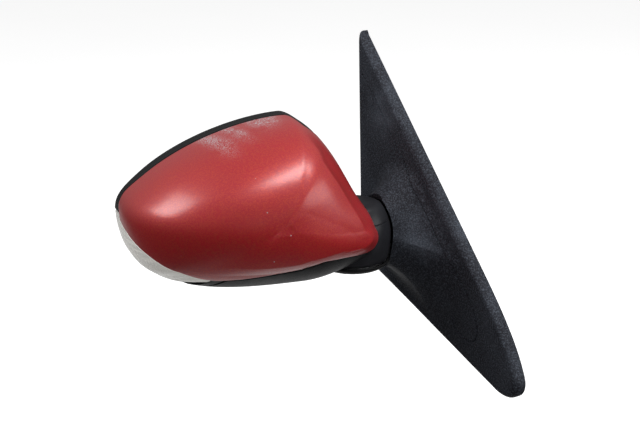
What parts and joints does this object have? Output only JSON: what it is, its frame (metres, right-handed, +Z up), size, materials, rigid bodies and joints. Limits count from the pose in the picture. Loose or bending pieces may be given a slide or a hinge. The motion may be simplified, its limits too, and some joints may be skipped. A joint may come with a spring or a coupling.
{
  "type": "car side mirror",
  "caption": "Right-hand car door mirror: painted head with indicator strip on a folding neck, grained triangular sail cover, motor-driven tilting glass, door studs.",
  "frame": {"origin": "on the door face of the base bracket, level with the middle of the neck and in line with the fold axis", "axes": "+X towards the door, +Y to the rear of the car (the side of the glass), +Z up along the fold axis"},
  "size_m": [0.2553, 0.2275, 0.2541],
  "materials": {
    "paint": "metallic paint, clear coat",
    "grained": "coarse grain",
    "black": "fine satin",
    "clear": "clear, ribbed inside",
    "casting": "as cast",
    "steel": "plain",
    "rubber": "matte",
    "mirror": "polished",
    "white": "moulded",
    "board": "solder mask",
    "heater": "foil",
    "brass": "plain"
  },
  "bodies": {
    "base": {"base_bracket": "casting", "sail_cover": "grained", "foot_cover": "grained", "door_gasket": "rubber", "cable_grommet": "rubber", "locating_peg": "white", "mounting_stud_1": "steel", "mounting_stud_2": "steel", "mounting_stud_3": "steel", "cover_screw_1": "steel", "cover_screw_2": "steel", "cover_screw_3": "steel", "pivot_tube": "steel", "detent_ring_lower": "steel", "fold_spring": "steel", "spring_retainer": "steel"},
    "head": {"head_cap": "paint", "mirror_housing": "black", "lower_cover": "black", "indicator_lens": "clear", "indicator_case": "black", "indicator_board": "board", "neck_lower_shell": "black", "neck_upper_shell": "black", "head_frame": "black", "detent_ring_upper": "steel", "thrust_washer": "brass", "actuator_base": "black", "actuator_lid": "black", "actuator_screw_1": "steel", "actuator_screw_2": "steel", "actuator_screw_3": "steel", "yaw_motor": "steel", "yaw_worm": "brass", "pitch_motor": "steel", "pitch_worm": "brass"},
    "yaw_wheel": {"yaw_wheel": "white"},
    "pitch_wheel": {"pitch_wheel": "white"},
    "yaw_plunger": {"yaw_plunger": "white"},
    "pitch_plunger": {"pitch_plunger": "white"},
    "gimbal": {"gimbal_cross": "white"},
    "glass": {"glass_holder": "black", "heater_pad": "heater", "mirror_glass": "mirror"}
  },
  "joints": [
    {"name": "head_fold", "type": "hinge", "parent": "base", "child": "head", "pos_m": [-0.06, 0, 0], "axis": [0, 0, 1], "range_deg": [-48, 40]},
    {"name": "glass_yaw", "type": "hinge", "parent": "head", "child": "gimbal", "pos_m": [-0.15167, 0.04423, 0.032], "axis": [0, 0, 1], "range_deg": [-8, 8]},
    {"name": "glass_pitch", "type": "hinge", "parent": "gimbal", "child": "glass", "pos_m": [-0.15167, 0.04423, 0.032], "axis": [0.9659, -0.2588, 0], "range_deg": [-8, 8]},
    {"name": "yaw_plunger_slide", "type": "slide", "parent": "head", "child": "yaw_plunger", "axis": [0.2588, 0.9659, 0], "range_m": [-0.0038, 0.0038]},
    {"name": "pitch_plunger_slide", "type": "slide", "parent": "head", "child": "pitch_plunger", "axis": [0.2588, 0.9659, 0], "range_m": [-0.0038, 0.0038]},
    {"name": "yaw_wheel_turn", "type": "hinge", "parent": "head", "child": "yaw_wheel", "pos_m": [-0.18112, 0.03866, 0.032], "axis": [0.2588, 0.9659, 0], "range_deg": [-170, 170]},
    {"name": "pitch_wheel_turn", "type": "hinge", "parent": "head", "child": "pitch_wheel", "pos_m": [-0.15504, 0.03168, 0.005], "axis": [0.2588, 0.9659, 0], "range_deg": [-170, 170]}
  ],
  "couplings": [
    {"joint": "yaw_plunger_slide", "follows": "glass_yaw", "m_per_rad": -0.027},
    {"joint": "pitch_plunger_slide", "follows": "glass_pitch", "m_per_rad": 0.027},
    {"joint": "yaw_wheel_turn", "follows": "glass_yaw", "ratio": -21.2},
    {"joint": "pitch_wheel_turn", "follows": "glass_pitch", "ratio": 21.2}
  ]
}
